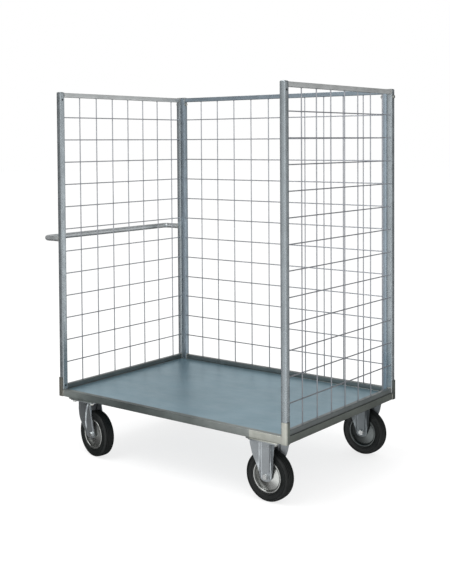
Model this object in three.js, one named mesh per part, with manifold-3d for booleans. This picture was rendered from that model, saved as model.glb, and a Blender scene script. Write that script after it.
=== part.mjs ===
// Platform roll container with three welded mesh sides, a push handle and four castors.
// Units are millimetres and +Z is up. X runs along the platform from the handle end to the
// rigid castors, Y runs from the open loading side to the rear mesh side.
import * as THREE from 'three';
import { mergeVertices } from 'three/addons/utils/BufferGeometryUtils.js';
import Module from 'manifold-3d';

const wasm = await Module();
wasm.setup();

// Clearance left between pieces that touch or are welded together.
const GAP = 0.3;

// Platform frame.
const FRAME_LENGTH = 1232;
const FRAME_WIDTH = 845;
const FRAME_BOTTOM = 249.5;
const FRAME_HEIGHT = 30;
const RAIL_WIDTH = 25;
const RAIL_WALL = 2.5;
const TUBE_CHAMFER = 1.2;
const BEARER_WIDTH = 30;
const DECK_THICKNESS = 3;
const DECK_RECESS = 1;
const PAD_LENGTH = 150;
const PAD_WIDTH = 116;
const PAD_THICKNESS = 5;

// Corner angles that clasp the feet of the posts.
const ANGLE_LEG = 20;
const ANGLE_THICKNESS = 3;
const ANGLE_HEIGHT = 84;

// Mesh side panels.
const POST_SIZE = 25;
const POST_WALL = 2;
const RAIL_SIZE = 20;
const CAP_HEIGHT = 5;
const POST_TOP = 1608;
const WIRE_DIAMETER = 5;
const WIRE_OVERLAP = 0.6;
const WIRE_ROW_PITCH = 100;
const WIRE_ROWS = 12;
const END_WIRE_COLUMNS = 7;
const END_WIRE_PITCH = 105.6;
const END_FIRST_CELL = 119;
const REAR_WIRE_COLUMNS = 10;
const REAR_WIRE_PITCH = 103.5;
const TOP_RAIL_HEIGHT = 1600;

// Through bolts that tie the rear panel to the end panels.
const TIE_BOLT_RADIUS = 4;
const TIE_BOLT_HEIGHT = 1579;
const TIE_HEAD_WIDTH = 13;
const TIE_HEAD_LENGTH = 6;

// Push handle.
const HANDLE_HEIGHT = 957;
const HANDLE_REACH = 105;
const HANDLE_RADIUS = 12.5;
const HANDLE_WALL = 2;
const HANDLE_BEND = 18;

// Castors.
const WHEEL_RADIUS = 100;
const TYRE_HALF_WIDTH = 24;
const TYRE_BORE = 60;
const RIM_FLANGE_RADIUS = 66;
const RIM_HALF_WIDTH = 22.5;
const HUB_RADIUS = 16;
const HUB_HALF_LENGTH = 26.7;
const AXLE_RADIUS = 6;
const AXLE_RUNNING_GAP = 0.08;
const LEG_INSET = 27;
const LEG_THICKNESS = 3.5;
const CASTOR_TOP = 243.9;
const PLATE_LENGTH = 140;
const PLATE_WIDTH = 110;
const PLATE_THICKNESS = 4;
const PLATE_BOLT_X = 105;
const PLATE_BOLT_Y = 80;
const CASTOR_SIDE = 364;
const SWIVEL_POSITION = -486;
const RIGID_POSITION = 499;
const SWIVEL_TRAIL = 54;
const SWIVEL_TURN = -10;
const RACE_RADIUS = 34;
const RACE_BOTTOM = 236.5;
const CROWN_BOTTOM = 229;
const CROWN_THICKNESS = 4;
const SWIVEL_LEG_END = 21;
const RIGID_LEG_END = 26;
const WHEEL_SEGMENTS = 24;

const frameTop = FRAME_BOTTOM + FRAME_HEIGHT;
const postBottom = frameTop + GAP;
const panelX = FRAME_LENGTH / 2 - POST_SIZE / 2;
const postY = FRAME_WIDTH / 2 - POST_SIZE / 2;
const rearPostX = panelX - POST_SIZE - GAP;
const bottomRailHeight = postBottom + RAIL_SIZE / 2;

// The row frame's origin is on the floor under the centre of the overall box.
const leftExtent = -(panelX + HANDLE_REACH + HANDLE_RADIUS);
const rightExtent = FRAME_LENGTH / 2 + GAP + TIE_HEAD_LENGTH;
const centreShift = -(leftExtent + rightExtent) / 2;

const group = new THREE.Group();
group.name = 'mesh_sided_roll_container';

const finishes = {
  frame: { color: 0x8d9592, roughness: 0.45, metalness: 0.85 },
  deck: { color: 0x7f95a0, roughness: 0.38, metalness: 0.8 },
  panel: { color: 0x9aa6ad, roughness: 0.42, metalness: 0.85 },
  wire: { color: 0xb4b9bb, roughness: 0.4, metalness: 0.85 },
  handle: { color: 0xa3abb0, roughness: 0.35, metalness: 0.9 },
  bolt: { color: 0xc6cac6, roughness: 0.3, metalness: 0.95 },
  castor: { color: 0x9da4a8, roughness: 0.35, metalness: 0.9 },
  rim: { color: 0x8a8d88, roughness: 0.4, metalness: 0.85 },
  tyre: { color: 0x1e2121, roughness: 0.62, metalness: 0.0 },
};

function addPart(name, geometry, finish) {
  const material = new THREE.MeshStandardMaterial(finishes[finish]);
  const mesh = new THREE.Mesh(geometry, material);
  mesh.name = name;
  mesh.position.x = centreShift;
  group.add(mesh);
}

// Converts an indexed, welded three.js geometry to a manifold solid.
function toSolid(geometry) {
  const bare = geometry.clone();
  bare.deleteAttribute('normal');
  bare.deleteAttribute('uv');
  const welded = mergeVertices(bare, 1e-4);
  return new wasm.Manifold(new wasm.Mesh({
    numProp: 3,
    vertProperties: new Float32Array(welded.attributes.position.array),
    triVerts: new Uint32Array(welded.index.array),
  }));
}

function fromSolid(solid) {
  const mesh = solid.getMesh();
  const geometry = new THREE.BufferGeometry();
  geometry.setAttribute('position', new THREE.BufferAttribute(mesh.vertProperties, 3));
  geometry.setIndex(new THREE.BufferAttribute(mesh.triVerts, 1));
  geometry.computeVertexNormals();
  return geometry;
}

function union(geometries) {
  const solids = geometries.map(toSolid);
  return fromSolid(solids.slice(1).reduce((sum, solid) => sum.add(solid), solids[0]));
}

function subtract(geometry, tools) {
  return fromSolid(tools.map(toSolid).reduce((rest, tool) => rest.subtract(tool), toSolid(geometry)));
}

function block(sizeX, sizeY, sizeZ, x, y, z) {
  return new THREE.BoxGeometry(sizeX, sizeY, sizeZ).translate(x, y, z);
}

function cylinderAlong(axis, radius, length, sides, x, y, z) {
  const geometry = new THREE.CylinderGeometry(radius, radius, length, sides);
  if (axis === 'x') geometry.rotateZ(Math.PI / 2);
  if (axis === 'z') geometry.rotateX(Math.PI / 2);
  return geometry.translate(x, y, z);
}

// Hexagonal head or nut with the given width across its flats.
function hexagonAlong(axis, acrossFlats, length, x, y, z) {
  return cylinderAlong(axis, acrossFlats / Math.sqrt(3), length, 6, x, y, z);
}

// Outline of a rectangle with small chamfered corners.
function chamferedRectangle(path, width, height, chamfer) {
  const w = width / 2;
  const h = height / 2;
  path.moveTo(w - chamfer, -h);
  path.lineTo(w, -h + chamfer);
  path.lineTo(w, h - chamfer);
  path.lineTo(w - chamfer, h);
  path.lineTo(-w + chamfer, h);
  path.lineTo(-w, h - chamfer);
  path.lineTo(-w, -h + chamfer);
  path.lineTo(-w + chamfer, -h);
  path.closePath();
  return path;
}

// Square or rectangular tube with open ends. Width lies across and height lies upward on
// a horizontal tube, and along X and Y on an upright one.
function rectangularTube(axis, length, width, height, wall, x, y, z) {
  const outline = chamferedRectangle(new THREE.Shape(), width, height, TUBE_CHAMFER);
  const bore = new THREE.Path();
  bore.moveTo(width / 2 - wall, height / 2 - wall);
  bore.lineTo(-width / 2 + wall, height / 2 - wall);
  bore.lineTo(-width / 2 + wall, -height / 2 + wall);
  bore.lineTo(width / 2 - wall, -height / 2 + wall);
  bore.closePath();
  outline.holes.push(bore);
  const geometry = new THREE.ExtrudeGeometry(outline, { depth: length, bevelEnabled: false });
  geometry.translate(0, 0, -length / 2);
  if (axis === 'y') geometry.rotateX(Math.PI / 2);
  if (axis === 'x') geometry.rotateX(Math.PI / 2).rotateZ(Math.PI / 2);
  return geometry.translate(x, y, z);
}

// Platform frame: long rails run the full length and the end rails fit between them.
const railY = FRAME_WIDTH / 2 - RAIL_WIDTH / 2;
const railX = FRAME_LENGTH / 2 - RAIL_WIDTH / 2;
const frameMiddle = FRAME_BOTTOM + FRAME_HEIGHT / 2;
const innerWidth = FRAME_WIDTH - 2 * RAIL_WIDTH - 2 * GAP;

function frameRail(axis, length, x, y) {
  return rectangularTube(axis, length, RAIL_WIDTH, FRAME_HEIGHT, RAIL_WALL, x, y, frameMiddle);
}

addPart('frame_rail_front', frameRail('x', FRAME_LENGTH, 0, -railY), 'frame');
addPart('frame_rail_rear', frameRail('x', FRAME_LENGTH, 0, railY), 'frame');
addPart('frame_rail_left', frameRail('y', innerWidth, -railX, 0), 'frame');
addPart('frame_rail_right', frameRail('y', innerWidth, railX, 0), 'frame');

// Cross bearers carry the deck and take the castor plate bolts.
const bearerHeight = FRAME_HEIGHT - DECK_RECESS - DECK_THICKNESS - GAP;
const bearers = [
  ['cross_bearer_left_outer', SWIVEL_POSITION - PLATE_BOLT_X / 2],
  ['cross_bearer_left_inner', SWIVEL_POSITION + PLATE_BOLT_X / 2],
  ['cross_bearer_right_inner', RIGID_POSITION - PLATE_BOLT_X / 2],
  ['cross_bearer_right_outer', RIGID_POSITION + PLATE_BOLT_X / 2],
];
for (const [name, x] of bearers) {
  const z = FRAME_BOTTOM + bearerHeight / 2;
  const tube = rectangularTube('y', innerWidth, BEARER_WIDTH, bearerHeight, RAIL_WALL, x, 0, z);
  addPart(name, tube, 'frame');
}

const deckTop = frameTop - DECK_RECESS;
const deckLength = FRAME_LENGTH - 2 * RAIL_WIDTH - 2 * GAP;
const deckMiddle = deckTop - DECK_THICKNESS / 2;
addPart('deck_sheet', block(deckLength, innerWidth, DECK_THICKNESS, 0, 0, deckMiddle), 'deck');

// Corner angles are outside the frame and rise past the feet of the posts.
function cornerAngle(signX, signY) {
  const inside = GAP;
  const outside = GAP + ANGLE_THICKNESS;
  const shape = new THREE.Shape();
  shape.moveTo(outside, outside);
  shape.lineTo(-ANGLE_LEG, outside);
  shape.lineTo(-ANGLE_LEG, inside);
  shape.lineTo(inside, inside);
  shape.lineTo(inside, -ANGLE_LEG);
  shape.lineTo(outside, -ANGLE_LEG);
  shape.closePath();
  const geometry = new THREE.ExtrudeGeometry(shape, { depth: ANGLE_HEIGHT, bevelEnabled: false });
  const turns = { '1,1': 0, '-1,1': 1, '-1,-1': 2, '1,-1': 3 };
  geometry.rotateZ(turns[`${signX},${signY}`] * Math.PI / 2);
  return geometry.translate(signX * FRAME_LENGTH / 2, signY * FRAME_WIDTH / 2, FRAME_BOTTOM);
}

addPart('corner_angle_front_left', cornerAngle(-1, -1), 'frame');
addPart('corner_angle_front_right', cornerAngle(1, -1), 'frame');
addPart('corner_angle_rear_left', cornerAngle(-1, 1), 'frame');
addPart('corner_angle_rear_right', cornerAngle(1, 1), 'frame');

// Upright post, with cross holes for a tie bolt where it has one.
const postLength = POST_TOP - postBottom;

function post(x, y, hasTieBolt) {
  const z = postBottom + postLength / 2;
  const tube = rectangularTube('z', postLength, POST_SIZE, POST_SIZE, POST_WALL, x, y, z);
  if (!hasTieBolt) return tube;
  const radius = TIE_BOLT_RADIUS + GAP;
  return subtract(tube, [cylinderAlong('x', radius, POST_SIZE + 2, 12, x, y, TIE_BOLT_HEIGHT)]);
}

// Low domed cap that closes the top of a post.
function postCap(x, y) {
  const base = POST_SIZE / Math.SQRT2;
  const crown = (POST_SIZE - 8) / Math.SQRT2;
  const geometry = new THREE.CylinderGeometry(crown, base, CAP_HEIGHT, 4);
  geometry.rotateX(Math.PI / 2).rotateZ(Math.PI / 4);
  return geometry.translate(x, y, POST_TOP + GAP + CAP_HEIGHT / 2);
}

// Welded mesh of square-section wires: columns and rows lie in two layers that just bite.
function wireMesh(axis, span, columns, pitch, firstColumn) {
  const half = (WIRE_DIAMETER - WIRE_OVERLAP) / 2;
  const low = bottomRailHeight + RAIL_SIZE / 2 + GAP;
  const high = TOP_RAIL_HEIGHT - RAIL_SIZE / 2 - GAP;
  const rowLength = span - POST_SIZE - 2 * GAP;
  const wires = [];
  for (let column = 1; column <= columns; column += 1) {
    const offset = firstColumn + (column - 1) * pitch;
    const middle = (low + high) / 2;
    wires.push(block(WIRE_DIAMETER, WIRE_DIAMETER, high - low, offset, half, middle));
  }
  for (let row = 1; row <= WIRE_ROWS; row += 1) {
    const z = TOP_RAIL_HEIGHT - row * WIRE_ROW_PITCH;
    wires.push(block(rowLength, WIRE_DIAMETER, WIRE_DIAMETER, 0, -half, z));
  }
  const mesh = union(wires);
  return axis === 'y' ? mesh.rotateZ(Math.PI / 2) : mesh;
}

// One panel: two posts, a top rail, a bottom rail and the mesh between them.
function addEndPanel(side, x) {
  const length = 2 * postY - POST_SIZE - 2 * GAP;
  addPart(`${side}_post_front`, post(x, -postY, false), 'panel');
  addPart(`${side}_post_rear`, post(x, postY, true), 'panel');
  addPart(`${side}_post_cap_front`, postCap(x, -postY), 'panel');
  addPart(`${side}_post_cap_rear`, postCap(x, postY), 'panel');
  const top = rectangularTube('y', length, RAIL_SIZE, RAIL_SIZE, 1.5, x, 0, TOP_RAIL_HEIGHT);
  const bottom = rectangularTube('y', length, RAIL_SIZE, RAIL_SIZE, 1.5, x, 0, bottomRailHeight);
  addPart(`${side}_top_rail`, top, 'panel');
  addPart(`${side}_bottom_rail`, bottom, 'panel');
  const first = END_FIRST_CELL - postY;
  const mesh = wireMesh('y', 2 * postY, END_WIRE_COLUMNS, END_WIRE_PITCH, first);
  addPart(`${side}_mesh`, mesh.translate(x, 0, 0), 'wire');
}

function addRearPanel() {
  const y = postY;
  const length = 2 * rearPostX - POST_SIZE - 2 * GAP;
  addPart('rear_post_left', post(-rearPostX, y, true), 'panel');
  addPart('rear_post_right', post(rearPostX, y, true), 'panel');
  addPart('rear_post_cap_left', postCap(-rearPostX, y), 'panel');
  addPart('rear_post_cap_right', postCap(rearPostX, y), 'panel');
  const top = rectangularTube('x', length, RAIL_SIZE, RAIL_SIZE, 1.5, 0, y, TOP_RAIL_HEIGHT);
  const bottom = rectangularTube('x', length, RAIL_SIZE, RAIL_SIZE, 1.5, 0, y, bottomRailHeight);
  addPart('rear_top_rail', top, 'panel');
  addPart('rear_bottom_rail', bottom, 'panel');
  const first = (-(REAR_WIRE_COLUMNS - 1) * REAR_WIRE_PITCH) / 2;
  const mesh = wireMesh('x', 2 * rearPostX, REAR_WIRE_COLUMNS, REAR_WIRE_PITCH, first);
  addPart('rear_mesh', mesh.translate(0, y, 0), 'wire');
}

addEndPanel('left', -panelX);
addEndPanel('right', panelX);
addRearPanel();

// Tie bolt through the two posts that stand side by side at a rear corner.
function tieBolt(sign) {
  const y = postY;
  const z = TIE_BOLT_HEIGHT;
  const outer = FRAME_LENGTH / 2 + GAP;
  const inner = rearPostX - POST_SIZE / 2 - GAP;
  const middle = (outer + inner) / 2;
  const reach = TIE_HEAD_LENGTH / 2;
  return union([
    cylinderAlong('x', TIE_BOLT_RADIUS, outer - inner + 2, 12, sign * middle, y, z),
    hexagonAlong('x', TIE_HEAD_WIDTH, TIE_HEAD_LENGTH, sign * (outer + reach), y, z),
    hexagonAlong('x', TIE_HEAD_WIDTH, TIE_HEAD_LENGTH, sign * (inner - reach), y, z),
  ]);
}

addPart('tie_bolt_left', tieBolt(-1), 'bolt');
addPart('tie_bolt_right', tieBolt(1), 'bolt');

// Path of a bent tube: straight runs are one step long and each bend is split evenly.
class StationPath extends THREE.Curve {
  constructor(points, tangents) {
    super();
    this.points = points;
    this.tangents = tangents;
  }

  getPointAt(u) {
    return this.points[Math.round(u * (this.points.length - 1))].clone();
  }

  getTangentAt(u) {
    return this.tangents[Math.round(u * (this.points.length - 1))].clone();
  }
}

function pushHandle() {
  const bendSteps = 6;
  const barX = -(panelX + HANDLE_REACH);
  const startX = -(FRAME_LENGTH / 2 + GAP);
  const points = [new THREE.Vector3(startX, -postY, HANDLE_HEIGHT)];
  const tangents = [new THREE.Vector3(-1, 0, 0)];
  for (const sign of [-1, 1]) {
    const centreX = barX + HANDLE_BEND;
    const centreY = sign * (postY - HANDLE_BEND);
    for (let step = 0; step <= bendSteps; step += 1) {
      const along = ((step / bendSteps) * Math.PI) / 2;
      const turn = sign < 0 ? Math.PI * 1.5 - along : Math.PI - along;
      const x = centreX + HANDLE_BEND * Math.cos(turn);
      const y = centreY + HANDLE_BEND * Math.sin(turn);
      points.push(new THREE.Vector3(x, y, HANDLE_HEIGHT));
      tangents.push(new THREE.Vector3(Math.sin(turn), -Math.cos(turn), 0));
    }
  }
  points.push(new THREE.Vector3(startX, postY, HANDLE_HEIGHT));
  tangents.push(new THREE.Vector3(1, 0, 0));
  const ring = new THREE.Shape();
  ring.absarc(0, 0, HANDLE_RADIUS, 0, Math.PI * 2, false);
  const bore = new THREE.Path();
  bore.absarc(0, 0, HANDLE_RADIUS - HANDLE_WALL, 0, Math.PI * 2, true);
  ring.holes.push(bore);
  const extrudePath = new StationPath(points, tangents);
  return new THREE.ExtrudeGeometry(ring, { steps: points.length - 1, curveSegments: 8, extrudePath });
}

addPart('push_handle', pushHandle(), 'handle');

// Castor plate with a nut at each corner hole. Castor parts are drawn about the middle of
// their plate, with the wheel trailing along +X.
function castorPlate() {
  const z = CASTOR_TOP - PLATE_THICKNESS / 2;
  const pieces = [block(PLATE_LENGTH, PLATE_WIDTH, PLATE_THICKNESS, 0, 0, z)];
  for (const signX of [-1, 1]) {
    for (const signY of [-1, 1]) {
      const nutX = (signX * PLATE_BOLT_X) / 2;
      const nutY = (signY * PLATE_BOLT_Y) / 2;
      pieces.push(hexagonAlong('z', 16, 8, nutX, nutY, CASTOR_TOP - PLATE_THICKNESS - 3));
    }
  }
  return pieces;
}

// Fork leg drawn in the XZ plane and extruded across its thickness.
function forkLeg(outline, side) {
  const shape = new THREE.Shape(outline.map(([x, z]) => new THREE.Vector2(x, z)));
  const geometry = new THREE.ExtrudeGeometry(shape, { depth: LEG_THICKNESS, bevelEnabled: false });
  geometry.rotateX(Math.PI / 2);
  const start = side > 0 ? LEG_INSET + LEG_THICKNESS : -LEG_INSET;
  return geometry.translate(0, start, 0);
}

// Rounded lower end of a leg around the axle, from its left flank to its right flank.
function legEnd(axleX, radius) {
  const points = [];
  const steps = 8;
  for (let step = 0; step <= steps; step += 1) {
    const turn = Math.PI + (step / steps) * Math.PI;
    points.push([axleX + radius * Math.cos(turn), WHEEL_RADIUS + radius * Math.sin(turn)]);
  }
  return points;
}

function axleBore(axleX) {
  const radius = AXLE_RADIUS + AXLE_RUNNING_GAP;
  return cylinderAlong('y', radius, 2 * LEG_INSET + 20, 20, axleX, 0, WHEEL_RADIUS);
}

// Pad welded under the frame, which the castor plate bolts up to.
function castorPad() {
  const z = FRAME_BOTTOM - GAP - PAD_THICKNESS / 2;
  return block(PAD_LENGTH, PAD_WIDTH, PAD_THICKNESS, 0, 0, z);
}

// Swivel fork: pressed crown under the race and two legs that lead back to the axle.
function swivelFork() {
  const crownTop = CROWN_BOTTOM + CROWN_THICKNESS;
  const headBottom = crownTop - 1;
  const headTop = RACE_BOTTOM - GAP;
  const rearFlank = [[-40, crownTop], [-38, crownTop - 36], [-28, crownTop - 82]];
  const outline = [...rearFlank, ...legEnd(SWIVEL_TRAIL, SWIVEL_LEG_END), [42, crownTop]];
  const crownDepth = 2 * (LEG_INSET + LEG_THICKNESS);
  const crownMiddle = CROWN_BOTTOM + CROWN_THICKNESS / 2;
  const headMiddle = (headTop + headBottom) / 2;
  const fork = union([
    block(82, crownDepth, CROWN_THICKNESS, 1, 0, crownMiddle),
    cylinderAlong('z', RACE_RADIUS + 2, headTop - headBottom, 24, 0, 0, headMiddle),
    forkLeg(outline, -1),
    forkLeg(outline, 1),
  ]);
  return subtract(fork, [axleBore(SWIVEL_TRAIL)]);
}

function swivelPlate() {
  const height = CASTOR_TOP - PLATE_THICKNESS - RACE_BOTTOM + 1;
  const middle = RACE_BOTTOM + height / 2;
  return union([...castorPlate(), cylinderAlong('z', RACE_RADIUS, height, 24, 0, 0, middle)]);
}

// Rigid fork: broad legs straight down from the castor plate.
function rigidFork() {
  const top = CASTOR_TOP - PLATE_THICKNESS + 1;
  const waist = top - 50;
  const leftFlank = [[-58, top], [-50, waist]];
  const rightFlank = [[50, waist], [58, top]];
  const outline = [...leftFlank, ...legEnd(0, RIGID_LEG_END), ...rightFlank];
  const fork = union([...castorPlate(), forkLeg(outline, -1), forkLeg(outline, 1)]);
  return subtract(fork, [axleBore(0)]);
}

// Axle bolt: head, shank and nut outside the two legs.
function axleBolt(axleX) {
  const outside = LEG_INSET + LEG_THICKNESS + GAP;
  return union([
    cylinderAlong('y', AXLE_RADIUS, 2 * outside + 2, 20, axleX, 0, WHEEL_RADIUS),
    hexagonAlong('y', 19, 7, axleX, -outside - 3.5, WHEEL_RADIUS),
    hexagonAlong('y', 19, 9, axleX, outside + 4.5, WHEEL_RADIUS),
  ]);
}

function revolve(profile, axleX) {
  const points = profile.map(([radius, across]) => new THREE.Vector2(radius, across));
  const geometry = new THREE.LatheGeometry([...points, points[0].clone()], WHEEL_SEGMENTS);
  geometry.rotateY(Math.PI / WHEEL_SEGMENTS);
  return geometry.translate(axleX, 0, WHEEL_RADIUS);
}

// Mirrors a half profile across the wheel's middle plane into a closed section.
function symmetricProfile(half) {
  return [...half, ...half.map(([radius, across]) => [radius, -across]).reverse()];
}

function wheelRim(axleX) {
  const bore = AXLE_RADIUS + AXLE_RUNNING_GAP;
  const seat = TYRE_BORE - GAP;
  return revolve(symmetricProfile([
    [bore, -HUB_HALF_LENGTH],
    [HUB_RADIUS, -HUB_HALF_LENGTH],
    [HUB_RADIUS, -7],
    [54, -4],
    [57, -RIM_HALF_WIDTH],
    [RIM_FLANGE_RADIUS, -RIM_HALF_WIDTH],
    [RIM_FLANGE_RADIUS, -20 - GAP],
    [seat, -20 - GAP],
  ]), axleX);
}

function wheelTyre(axleX) {
  const scale = 1 / Math.cos(Math.PI / WHEEL_SEGMENTS);
  const shoulder = RIM_FLANGE_RADIUS + GAP;
  return revolve(symmetricProfile([
    [TYRE_BORE, -20],
    [shoulder, -20],
    [shoulder, -22.5],
    [80, -TYRE_HALF_WIDTH],
    [91, -23],
    [97, -18.5],
    [WHEEL_RADIUS * scale, -8],
  ]), axleX);
}

// One castor: its pad under the frame, its fork, and its wheel on the axle bolt. The pad and
// plates stay square to the frame while the turned parts swivel about the plate's middle.
function addCastor(corner, x, y, isSwivel) {
  const turn = isSwivel ? THREE.MathUtils.degToRad(SWIVEL_TURN) : 0;
  const axleX = isSwivel ? SWIVEL_TRAIL : 0;
  const square = (geometry) => geometry.translate(x, y, 0);
  const turned = (geometry) => geometry.rotateZ(turn).translate(x, y, 0);
  addPart(`castor_pad_${corner}`, square(castorPad()), 'frame');
  if (isSwivel) {
    addPart(`swivel_plate_${corner}`, square(swivelPlate()), 'castor');
    addPart(`swivel_fork_${corner}`, turned(swivelFork()), 'castor');
  } else {
    addPart(`rigid_fork_${corner}`, square(rigidFork()), 'castor');
  }
  addPart(`axle_bolt_${corner}`, turned(axleBolt(axleX)), 'bolt');
  addPart(`wheel_rim_${corner}`, turned(wheelRim(axleX)), 'rim');
  addPart(`wheel_tyre_${corner}`, turned(wheelTyre(axleX)), 'tyre');
}

for (const [row, y] of [['front', -CASTOR_SIDE], ['rear', CASTOR_SIDE]]) {
  addCastor(`${row}_left`, SWIVEL_POSITION, y, true);
  addCastor(`${row}_right`, RIGID_POSITION, y, false);
}

export default group;
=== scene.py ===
"""Looks of the mesh-sided roll container: every piece stands for a CAD node and rides on its body.

Shape code works in millimetres in the platform's own frame, whose X origin is the middle of the
platform; piece() turns that into metres in the row frame.
"""
import math

import bmesh
import bpy
from mathutils import Matrix, Vector


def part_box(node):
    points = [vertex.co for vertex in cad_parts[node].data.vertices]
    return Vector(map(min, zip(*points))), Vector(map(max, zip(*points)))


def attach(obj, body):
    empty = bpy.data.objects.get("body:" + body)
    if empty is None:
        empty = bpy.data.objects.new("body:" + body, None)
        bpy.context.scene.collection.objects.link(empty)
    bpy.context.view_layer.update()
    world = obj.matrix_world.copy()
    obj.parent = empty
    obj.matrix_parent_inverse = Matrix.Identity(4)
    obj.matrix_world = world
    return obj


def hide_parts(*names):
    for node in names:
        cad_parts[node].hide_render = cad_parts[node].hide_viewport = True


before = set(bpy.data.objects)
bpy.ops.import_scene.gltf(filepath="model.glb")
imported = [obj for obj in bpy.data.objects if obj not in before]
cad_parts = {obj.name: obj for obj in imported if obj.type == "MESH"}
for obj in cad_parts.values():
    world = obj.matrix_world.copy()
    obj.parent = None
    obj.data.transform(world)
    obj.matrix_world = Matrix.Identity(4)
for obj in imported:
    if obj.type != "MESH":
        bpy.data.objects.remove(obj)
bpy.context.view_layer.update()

# Driving dimensions. The frame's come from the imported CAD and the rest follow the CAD's sizes.
# Names in _X and _Y are places from the platform's middle and those in _Z are heights.
# PLATE_BOLT_X and PLATE_BOLT_Y count from the middle of the castor plate.
LOW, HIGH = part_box("frame_rail_front")
SHIFT = (LOW.x + HIGH.x) / 2
LENGTH = (HIGH.x - LOW.x) * 1000
FRAME_BOTTOM = LOW.z * 1000
FRAME_TOP = HIGH.z * 1000
WIDTH = -2000 * LOW.y
GAP = 0.3
FRAME_WALL = 2.5
FRAME_MIDDLE = (FRAME_BOTTOM + FRAME_TOP) / 2
FRAME_HEIGHT = FRAME_TOP - FRAME_BOTTOM
TUBE_ROUND = 2.4
BEARER_WIDTH = 30
BEARER_DROP = 4.3
ANGLE_LEG = 20
ANGLE_SHEET = 3
ANGLE_HEIGHT = 84

# Posts and rails of the panels.
POST = 25
POST_WALL = 2
POST_X = LENGTH / 2 - POST / 2
POST_Y = WIDTH / 2 - POST / 2
REAR_POST_X = POST_X - POST - GAP
POST_BOTTOM = FRAME_TOP + GAP
POST_TOP = 1608
INNER_WIDTH = WIDTH - 2 * POST - 2 * GAP
RAIL = 20
RAIL_WALL = 1.5
TOP_RAIL_Z = 1600
BOTTOM_RAIL_Z = POST_BOTTOM + RAIL / 2
BOLT_Z = 1579
LOW_HOLE_Z = FRAME_TOP + 18
HOLE_RADIUS = 4.6

# Wire mesh: rows count down from the top rail, columns start at END_FIRST on the end panels.
WIRE_RADIUS = 2.4
LAYER_OFFSET = 2.2
ROW_PITCH = 100
ROWS = 12
END_PITCH = 105.6
END_COLUMNS = 7
END_FIRST = 119 - POST_Y
REAR_PITCH = 103.5
REAR_COLUMNS = 10

# Push handle.
HANDLE_Z = 957
HANDLE_REACH = 105
HANDLE_RADIUS = 12.5
HANDLE_BEND = 18

# Castors: swivel ones on the left, rigid ones on the right.
CASTOR_Y = 364
SWIVEL_X = -486
SWIVEL_TURN = math.radians(-10)
TRAIL = 54
RIGID_X = 499
AXLE_Z = 100
LEG_OUTSIDE = 30.5
LEG_SHEET = 3.5
LEG_END_DROP = 19
PAD_LENGTH = 150
PAD_WIDTH = 116
PLATE_LENGTH = 140
PLATE_WIDTH = 110
PLATE_SHEET = 4
PLATE_TOP = 243.9
PLATE_BOLT_X = 52.5
PLATE_BOLT_Y = 40
SWIVEL_CROWN = 233
RIGID_CROWN = 239.8


# ---------------------------------------------------------------- node materials

def new_material(name, metallic, roughness):
    mat = bpy.data.materials.new(name)
    mat.use_nodes = True
    bsdf = mat.node_tree.nodes["Principled BSDF"]
    bsdf.inputs["Metallic"].default_value = metallic
    bsdf.inputs["Roughness"].default_value = roughness
    return mat, mat.node_tree, bsdf


def noise(tree, scale, detail=3.0, stretch=(1, 1, 1), roughness=0.5):
    """Noise in object space, stretched along an axis where its factor is small."""
    coords = tree.nodes.new("ShaderNodeTexCoord")
    mapping = tree.nodes.new("ShaderNodeMapping")
    mapping.inputs["Scale"].default_value = stretch
    texture = tree.nodes.new("ShaderNodeTexNoise")
    texture.inputs["Scale"].default_value = scale
    texture.inputs["Detail"].default_value = detail
    texture.inputs["Roughness"].default_value = roughness
    tree.links.new(coords.outputs["Object"], mapping.inputs["Vector"])
    tree.links.new(mapping.outputs["Vector"], texture.inputs["Vector"])
    return texture.outputs["Fac"]


def ramp(tree, source, stops):
    node = tree.nodes.new("ShaderNodeValToRGB")
    elements = node.color_ramp.elements
    while len(elements) < len(stops):
        elements.new(0.5)
    for element, (position, colour) in zip(elements, stops):
        element.position = position
        element.color = (*colour, 1)
    tree.links.new(source, node.inputs["Fac"])
    return node.outputs["Color"]


def spread(tree, source, low, high, start=0.3, end=0.7):
    """Maps start..end to low..high; a noise texture lies mostly inside 0.3..0.7."""
    node = tree.nodes.new("ShaderNodeMapRange")
    node.inputs["From Min"].default_value = start
    node.inputs["From Max"].default_value = end
    node.inputs["To Min"].default_value = low
    node.inputs["To Max"].default_value = high
    tree.links.new(source, node.inputs["Value"])
    return node.outputs["Result"]


def combine(tree, operation, first, second):
    """Maths on two sockets, or on a socket and a plain number."""
    node = tree.nodes.new("ShaderNodeMath")
    node.operation = operation
    tree.links.new(first, node.inputs[0])
    if isinstance(second, (int, float)):
        node.inputs[1].default_value = second
    else:
        tree.links.new(second, node.inputs[1])
    return node.outputs[0]


def coordinates(tree, space="Object"):
    """X, Y and Z sockets of the shaded point, or of a direction in the world's own space."""
    coords = tree.nodes.new("ShaderNodeTexCoord")
    split = tree.nodes.new("ShaderNodeSeparateXYZ")
    tree.links.new(coords.outputs[space], split.inputs["Vector"])
    return split.outputs


def mix(tree, mode, factor, first, second):
    node = tree.nodes.new("ShaderNodeMix")
    node.data_type = "RGBA"
    node.blend_type = mode
    if isinstance(factor, float):
        node.inputs["Factor"].default_value = factor
    else:
        tree.links.new(factor, node.inputs["Factor"])
    tree.links.new(first, node.inputs[6])
    tree.links.new(second, node.inputs[7])
    return node.outputs[2]


def bump(tree, bsdf, heights):
    """Adds bump layers, each a (height, strength, distance in metres)."""
    previous = None
    for height, strength, distance in heights:
        node = tree.nodes.new("ShaderNodeBump")
        node.inputs["Strength"].default_value = strength
        node.inputs["Distance"].default_value = distance
        tree.links.new(height, node.inputs["Height"])
        if previous:
            tree.links.new(previous, node.inputs["Normal"])
        previous = node.outputs["Normal"]
    tree.links.new(previous, bsdf.inputs["Normal"])


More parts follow.
